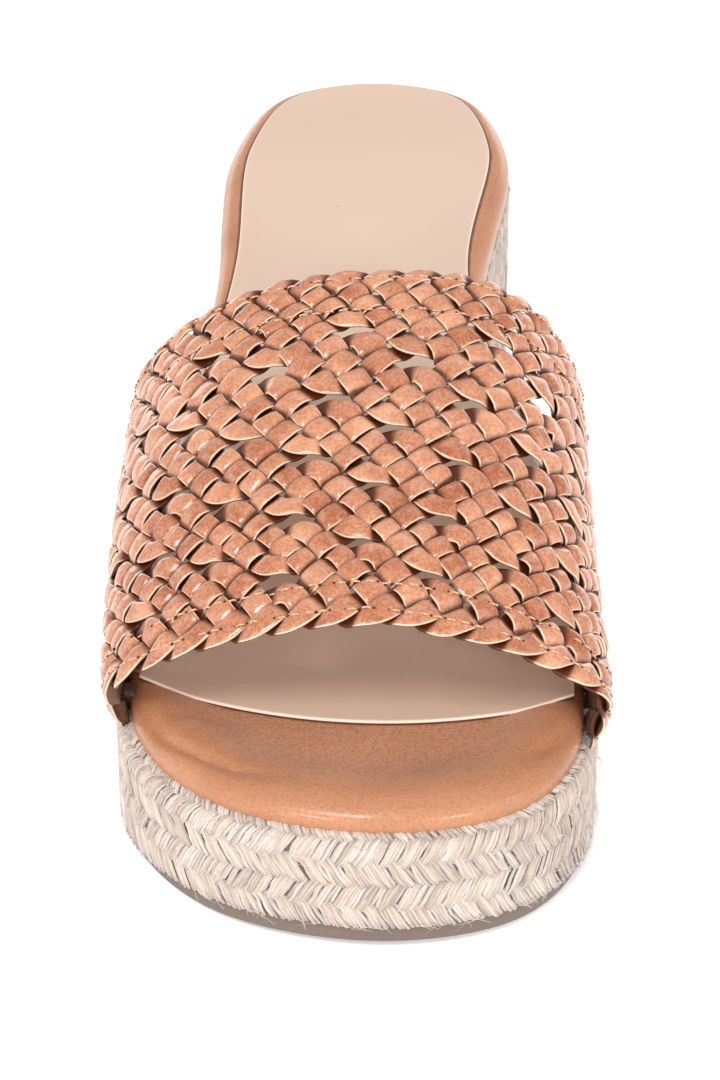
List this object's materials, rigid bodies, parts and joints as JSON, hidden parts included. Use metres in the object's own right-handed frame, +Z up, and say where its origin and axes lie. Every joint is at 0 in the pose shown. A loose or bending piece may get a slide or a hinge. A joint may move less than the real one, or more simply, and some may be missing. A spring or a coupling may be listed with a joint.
{
  "type": "wedge slide",
  "caption": "Right-foot wedge slide: woven leather band over the forefoot, leather-wrapped footbed with insole sock, plaited jute wedge and thin rubber outsole.",
  "frame": {"origin": "on the floor under the middle of the shoe's box", "axes": "+Z up, +Y from toe to heel, +X towards the inner (big toe) side"},
  "size_m": [0.0976, 0.2526, 0.0862],
  "materials": {
    "outsole_rubber": "moulded, matt",
    "jute_braid": "plaited natural fibre",
    "footbed_leather": "smooth, fine grain",
    "insole_sock": "smooth, matt",
    "woven_leather": "glazed strips with pale cut edges"
  },
  "bodies": {
    "root": {"outsole": "outsole_rubber", "wedge": "jute_braid", "footbed": "footbed_leather", "insole": "insole_sock", "upper": "woven_leather"}
  },
  "joints": []
}
